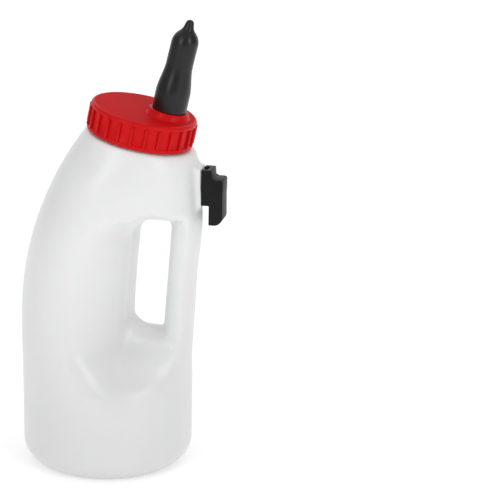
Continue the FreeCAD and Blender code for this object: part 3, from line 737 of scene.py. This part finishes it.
class BOTTLE_OT_shell(bpy.types.Operator):
    """Build the blown bottle with its grip, neck and inside"""
    bl_idname = "feeding_bottle.shell"
    bl_label = "Build bottle"

    def execute(self, context):
        settings = context.scene.bottle_sizes
        plastic = polyethylene(tuple(settings.milk_white))
        pitch = settings.mesh_pitch / MM
        wall = settings.wall / MM

        def outside(points):
            return outer_form(points, settings)

        def inside(points):
            return outer_form(points, settings) + wall

        points, faces = net_mesh(outside, FIELD_LOW, FIELD_HIGH, pitch)
        shell = new_piece("bottle_shell", points * MM, faces)
        points, faces = net_mesh(inside, FIELD_LOW, FIELD_HIGH, INSIDE_COARSER * pitch)
        hollow = new_piece("bottle_hollow", points * MM, faces)
        bore, outer = settings.neck_bore / MM, settings.neck_radius / MM
        lip = settings.lip_height / MM
        neck = turned("neck_form", [(0, -6.0), (outer, -6.0), (outer, lip - 0.8)]
                      + arc((outer - 0.8, lip - 0.8), 0.8, 0, 90, 4) + [(0, lip)], CAP_SEAT)
        clear = turned("neck_clear", [(0, -10.0), (bore, -10.0), (bore, lip + 5.0),
                                      (0, lip + 5.0)], CAP_SEAT)
        combine(shell, neck, "UNION")
        combine(hollow, clear, "UNION")
        combine(shell, hollow, "DIFFERENCE")
        soften(shell)
        dress(shell, plastic, "bottle_body", "bottle_plastic", "bottle")
        thread_ridge("neck_thread", outer, NECK_THREAD_START, plastic, "bottle_body",
                     "bottle_plastic")
        return {"FINISHED"}


class BOTTLE_OT_cap(bpy.types.Operator):
    """Build the screw cap with its panels, ribs and collar"""
    bl_idname = "feeding_bottle.cap"
    bl_label = "Build screw cap"

    def execute(self, context):
        sizes = context.scene.cap_sizes
        red = moulded("cap_red", tuple(sizes.red), 0.26, 700.0, 0.10, 1.2, IOR=1.33,
                      Specular_IOR_Level=0.22)
        radius, panel, height = sizes.radius / MM, sizes.panel_radius / MM, sizes.height / MM
        inner = SKIRT_INNER
        skirt = [(inner, 0.4), (inner + 0.5, 0.0)]
        skirt += arc((radius - 1.0, 1.0), 1.0, -90, 0, 5)
        skirt += [(radius, 3.1), (radius - 0.25, 3.6), (panel + 0.25, 4.2), (panel, 4.7)]
        skirt += [(panel, 19.4), (panel + 0.25, 20.1), (radius - 0.35, 20.9)]
        skirt += arc((radius - 3.2, height - 3.2), 3.2, 12, 90, 10)
        skirt += [(0, height), (0, height - 2.4), (inner - 0.6, height - 2.4),
                  (inner, height - 3.0)]
        cap = turned("cap_shell", skirt, CAP_SEAT, 200)
        collar = [(0, height - 0.5), (20.4, height - 0.5), (20.1, height + 0.25),
                  (19.55, height + 0.8)]
        collar += [(18.2, 29.6)] + arc((17.2, 30.0), 0.95, 10, 90, 6) + [(0, 30.95)]
        combine(cap, turned("collar", collar, TEAT_SEAT), "UNION")
        room = [(0, 22.0), (16.9, 22.0), (16.9, 27.6), (0, 27.6)]
        combine(cap, turned("flange_room", room, TEAT_SEAT), "DIFFERENCE")
        mouth = [(0, 27.0), (14.9, 27.0), (14.9, 30.1), (15.6, 31.6), (0, 31.6)]
        combine(cap, turned("teat_mouth", mouth, TEAT_SEAT), "DIFFERENCE")
        soften(cap)
        dress(cap, red, "cap", "cap_plastic", "screw_cap")
        dull = moulded("cap_red_dull", tuple(sizes.red), 0.55, 900.0, 0.16, 1.1, IOR=1.33,
                       Specular_IOR_Level=0.12)
        cap.data.materials.append(dull)
        for face in cap.data.polygons:
            over = (face.center / MM - CAP_SEAT).dot(NECK_UP)
            face.material_index = int(face.normal.dot(NECK_UP) > 0.98 and abs(over - height) < 0.1)
        ribs = grow("cap_ribs", rib_tree(), {
            "Rib": self.rib(radius, panel), "Count": sizes.ribs, "Finish": red})
        bpy.data.objects.remove(bpy.data.objects["rib_pattern"])
        stand_on(ribs, CAP_SEAT)
        soften(ribs)
        dress(ribs, red, "cap", "cap_plastic")
        thread_ridge("cap_thread", inner, CAP_THREAD_START, red, "cap", "cap_plastic")
        return {"FINISHED"}

    def rib(self, radius, panel):
        """One rounded rib, upright at the skirt's outside on +X."""
        low, high, half, sunk, inset, rounding = 3.2, 20.8, 1.05, 0.8, 0.02, 0.6
        shape = bmesh.new()
        bmesh.ops.create_cube(shape, size=1.0)
        depth = radius - panel + sunk
        for corner in shape.verts:
            corner.co.x = radius - depth / 2 + corner.co.x * depth - inset
            corner.co.y *= 2 * half
            corner.co.z = (low + high) / 2 + corner.co.z * (high - low)
        middle = radius - depth / 2
        outer = [edge for edge in shape.edges if all(end.co.x > middle for end in edge.verts)]
        bmesh.ops.bevel(shape, geom=outer, offset=rounding, segments=3, affect="EDGES", profile=0.5)
        mesh = bpy.data.meshes.new("rib_pattern")
        shape.to_mesh(mesh)
        shape.free()
        pattern = bpy.data.objects.new("rib_pattern", mesh)
        bpy.context.scene.collection.objects.link(pattern)
        return pattern


class BOTTLE_OT_teat(bpy.types.Operator):
    """Build the rubber teat"""
    bl_idname = "feeding_bottle.teat"
    bl_label = "Build teat"

    def execute(self, context):
        sizes = context.scene.teat_sizes
        rubber = black_rubber(tuple(sizes.black))
        foot, stem, wall = sizes.foot_radius / MM, sizes.stem_radius / MM, sizes.wall / MM
        outside = [(16.5, 25.3), (16.5, 27.4), (14.6, 27.4), (14.6, 31.15), (foot - 0.4, 31.15)]
        outside += arc((foot - 0.5, 31.75), 0.55, -60, 20, 4)
        for height in np.linspace(34.0, 92.0, 24):
            share = np.clip((height - 47.0) / 27.0, 0, 1)
            smooth = eased(share)
            bulge = 0.18 * math.sin(math.pi * np.clip((height - 34.0) / 20.0, 0, 1))
            outside.append((foot + (stem - foot) * smooth + min(bulge, 0.08), height))
        waist = [(1.00, 94.0), (0.975, 96.3), (0.92, 98.6), (0.83, 100.8), (0.72, 102.6),
                 (0.60, 104.2)]
        outside += [(stem * share, height) for share, height in waist]
        outside += [(6.0, 105.6), (5.1, 107.0), (4.55, 108.6), (4.1, 110.5), (3.7, 112.3),
                    (3.1, 113.8), (2.2, 114.7), (1.4, 115.0), (0.9, 114.9)]
        inside = [(0.9, 112.0), (2.6, 108.0), (stem - wall - 3.6, 100.5), (stem - wall - 0.8, 95.0)]
        inside += [(stem - wall, 90.0), (stem - wall, 74.0), (foot - wall - 0.9, 47.0),
                   (14.6 - wall, 31.0), (14.6 - wall, 25.3)]
        teat = turned("teat_rubber", outside + inside, TEAT_SEAT, 96)
        for vertex in teat.data.vertices:
            height = (vertex.co / MM - TEAT_SEAT).dot(NECK_UP)
            droop = TEAT_BEND * max(height - BEND_FROM, 0.0) ** 2
            vertex.co += NECK_ACROSS * droop * MM
        soften(teat)
        dress(teat, rubber, "teat_unit", "teat_rubber", "teat")
        return {"FINISHED"}


class BOTTLE_OT_hook(bpy.types.Operator):
    """Build the rail hook"""
    bl_idname = "feeding_bottle.hook"
    bl_label = "Build hook"

    def execute(self, context):
        sizes = context.scene.hook_sizes
        black = moulded("hook_black", tuple(sizes.black), 0.40, 1300.0, 0.30, 1.6,
                        Specular_IOR_Level=0.22)
        low, high = (Vector(corner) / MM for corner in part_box("hook_bracket"))
        bend = 8.0
        tip = [(high.x - bend + bend * math.sin(angle), low.z + bend - bend * math.cos(angle))
               for angle in np.radians(np.linspace(0, 90, 12))]
        outline = [(low.x, 253.0), (95.7, 253.0), (95.7, low.z)] + tip
        outline += [(high.x - 0.3, 262.0), (high.x, 270.0), (high.x, 275.6), (high.x - 0.6, 277.0),
                    (high.x - 2.0, 277.6), (100.5, 277.6), (99.7, 278.5), (98.3, 278.8),
                    (98.1, 283.0), (97.8, high.z), (low.x, high.z)]
        half = high.y
        front = [(across * MM, -half * MM, up * MM) for across, up in outline]
        back = [(across * MM, half * MM, up * MM) for across, up in outline]
        count = len(outline)
        faces = [tuple(range(count)), tuple(reversed(range(count, 2 * count)))]
        for index in range(count):
            following = (index + 1) % count
            faces.append((index, count + index, count + following, following))
        hook = new_piece("rail_hook", front + back, faces)
        check = bmesh.new()
        check.from_mesh(hook.data)
        bmesh.ops.recalc_face_normals(check, faces=check.faces)
        check.to_mesh(hook.data)
        check.free()
        for width, start, end in ((2.7, low.x - 1.0, low.x + 2.1), (5.3, low.x + 2.1, low.x + 4.7)):
            combine(hook, self.block(start, end, width, 255.9, high.z + 1.0), "DIFFERENCE")
        soft = hook.modifiers.new("soft_edges", "BEVEL")
        soft.width = sizes.edge
        soft.segments = 3
        soft.limit_method = "ANGLE"
        soft.angle_limit = math.radians(40)
        bake(hook)
        soften(hook, math.radians(40))
        dress(hook, black, "bottle_body", "hook_plastic", "hook_bracket")
        return {"FINISHED"}

    def block(self, start, end, half, foot, top):
        """The room for one part of the T rail."""
        shape = bmesh.new()
        bmesh.ops.create_cube(shape, size=1.0, matrix=Matrix.Translation(
            ((start + end) / 2 * MM, 0.0, (foot + top) / 2 * MM))
            @ Matrix.Diagonal(((end - start) * MM, 2 * half * MM, (top - foot) * MM, 1.0)))
        mesh = bpy.data.meshes.new("rail_room")
        shape.to_mesh(mesh)
        shape.free()
        room = bpy.data.objects.new("rail_room", mesh)
        bpy.context.scene.collection.objects.link(room)
        return room


class BOTTLE_OT_valve(bpy.types.Operator):
    """Finish the seal, the flow valve and the non-return ball, which keep their CAD shapes"""
    bl_idname = "feeding_bottle.valve"
    bl_label = "Finish valve parts"

    def execute(self, context):
        seal = moulded("seal_rubber_grey", (0.50, 0.50, 0.48), 0.55, 900.0, 0.2)
        pale = moulded("valve_white", (0.74, 0.74, 0.71), 0.32, 900.0, 0.08, 0.9)
        dial = moulded("dial_white", (0.68, 0.69, 0.70), 0.30, 900.0, 0.08, 0.9)
        finishes = {"cap_gasket": seal, "valve_seat": pale, "ball_cage": pale, "valve_dial": dial,
                    "check_ball": polished_steel()}
        for name, material in finishes.items():
            slots = frame["nodes"][name].material_slots
            for number in range(len(slots)):
                slots[number].material = material
        return {"FINISHED"}


# Each light's name, place and size in metres (wide, tall), and power in watts.
LIGHTS = (("key_light", (-0.8, -2.0, 1.3), 0.6, 1.6, 12.5),
          ("fill_light", (1.8, -1.3, 1.1), 0.6, 1.4, 12.0),
          ("sky_light", (0.0, 0.6, 3.0), 7.0, 7.0, 50.0))
LIGHTS_AIM = Vector((0.0, 0.0, 0.2))
SKY_STRENGTH = 0.46
FLOOR_GLOW = 0.25
FLOOR_HALF, FLOOR_FRONT, SWEEP_START = 4.0, -3.0, 2.2
FLOOR_DROP = 0.0002
CAMERA_YAW, CAMERA_PITCH, CAMERA_ROLL = math.radians(-11.25), math.radians(17.45), math.radians(1.28)
CAMERA_SHIFT = 1.5 * MM


class BOTTLE_OT_studio(bpy.types.Operator):
    """Set up the floor, the soft lights and the camera"""
    bl_idname = "feeding_bottle.studio"
    bl_label = "Set up studio"

    def execute(self, context):
        sizes = context.scene.stage_sizes
        self.floor()
        world = bpy.data.worlds.new("studio_sky")
        world.use_nodes = True
        sky = world.node_tree.nodes["Background"]
        sky.inputs["Color"].default_value = (1.0, 1.0, 1.0, 1.0)
        sky.inputs["Strength"].default_value = SKY_STRENGTH
        context.scene.world = world
        context.scene.view_settings.view_transform = "Standard"
        for name, place, wide, tall, power in LIGHTS:
            lamp = bpy.data.lights.new(name, "AREA")
            lamp.shape = "RECTANGLE"
            lamp.energy = power
            lamp.size = wide
            lamp.size_y = tall
            holder = bpy.data.objects.new(name, lamp)
            holder.location = place
            aim = LIGHTS_AIM - Vector(place)
            holder.rotation_euler = aim.to_track_quat("-Z", "Y").to_euler()
            context.scene.collection.objects.link(holder)
        self.camera(context, sizes)
        return {"FINISHED"}

    def floor(self):
        """A pale floor that sweeps up far behind the bottle."""
        sweep = np.radians(np.linspace(8, 90, 12))
        run = [(FLOOR_FRONT, 0.0), (SWEEP_START, 0.0)]
        run += [(SWEEP_START + math.sin(angle), 1 - math.cos(angle)) for angle in sweep]
        run += [(SWEEP_START + 1.0, 4.0)]
        points, faces = [], []
        for along, up in run:
            points += [(-FLOOR_HALF, along, up - FLOOR_DROP), (FLOOR_HALF, along, up - FLOOR_DROP)]
        for index in range(len(run) - 1):
            faces.append((2 * index, 2 * index + 1, 2 * index + 3, 2 * index + 2))
        made = new_piece("studio_floor", points, faces)
        paper = Finish("studio_paper")
        grain = paper.noise(300.0)
        paper.feed("Base Color", paper.mix(grain, (0.93, 0.93, 0.93), (0.95, 0.95, 0.95)))
        paper.feed("Roughness", 0.75 + grain * 0.1)
        paper.shader.inputs["Emission Color"].default_value = (1.0, 1.0, 1.0, 1.0)
        paper.shader.inputs["Emission Strength"].default_value = FLOOR_GLOW
        made.data.materials.append(paper.material)

    def camera(self, context, sizes):
        """A camera that looks down on the bottle, with the given lens."""
        yaw, pitch, roll = CAMERA_YAW, CAMERA_PITCH, CAMERA_ROLL
        ahead = Vector((math.sin(yaw) * math.cos(pitch), math.cos(yaw) * math.cos(pitch),
                        -math.sin(pitch)))
        right = ahead.cross(Vector((0, 0, 1))).normalized()
        above = right.cross(ahead)
        turned_right = right * math.cos(roll) + above * math.sin(roll)
        turned_up = above * math.cos(roll) - right * math.sin(roll)
        eye = bpy.data.cameras.new("studio_camera")
        eye.lens = sizes.lens
        eye.sensor_width = 36.0
        eye.clip_end = 50.0
        holder = bpy.data.objects.new("studio_camera", eye)
        rotation = Matrix((turned_right, turned_up, -ahead)).transposed().to_4x4()
        place = Vector((sizes.distance * math.sin(sizes.azimuth) + CAMERA_SHIFT,
                        -sizes.distance * math.cos(sizes.azimuth), sizes.height))
        holder.matrix_world = Matrix.Translation(place) @ rotation
        context.scene.collection.objects.link(holder)
        context.scene.camera = holder


class BOTTLE_PT_panel(bpy.types.Panel):
    """Lists the bottle's pieces in the 3D view's sidebar"""
    bl_idname = "BOTTLE_PT_panel"
    bl_label = "Feeding bottle"
    bl_space_type = "VIEW_3D"
    bl_region_type = "UI"
    bl_category = "Feeding bottle"

    def draw(self, context):
        for operator in OPERATORS:
            self.layout.operator(operator.bl_idname)
        for group in GROUPS:
            box = self.layout.box()
            for key in GROUPS[group].__annotations__:
                box.prop(getattr(context.scene, group), key)


GROUPS = {"bottle_sizes": BottleSizes, "cap_sizes": CapSizes, "teat_sizes": TeatSizes,
          "hook_sizes": HookSizes, "stage_sizes": StageSizes}
OPERATORS = (BOTTLE_OT_shell, BOTTLE_OT_cap, BOTTLE_OT_teat, BOTTLE_OT_hook, BOTTLE_OT_valve,
             BOTTLE_OT_studio)


def register():
    for group, kind in GROUPS.items():
        bpy.utils.register_class(kind)
        setattr(bpy.types.Scene, group, PointerProperty(type=kind))
    for kind in OPERATORS + (BOTTLE_PT_panel,):
        bpy.utils.register_class(kind)


def unregister():
    for kind in reversed(OPERATORS + (BOTTLE_PT_panel,)):
        bpy.utils.unregister_class(kind)
    for group, kind in GROUPS.items():
        delattr(bpy.types.Scene, group)
        bpy.utils.unregister_class(kind)


def main():
    register()
    steps = bpy.ops.feeding_bottle
    for build in (steps.shell, steps.cap, steps.teat, steps.hook, steps.valve, steps.studio):
        build()


if __name__ == "__main__":
    main()
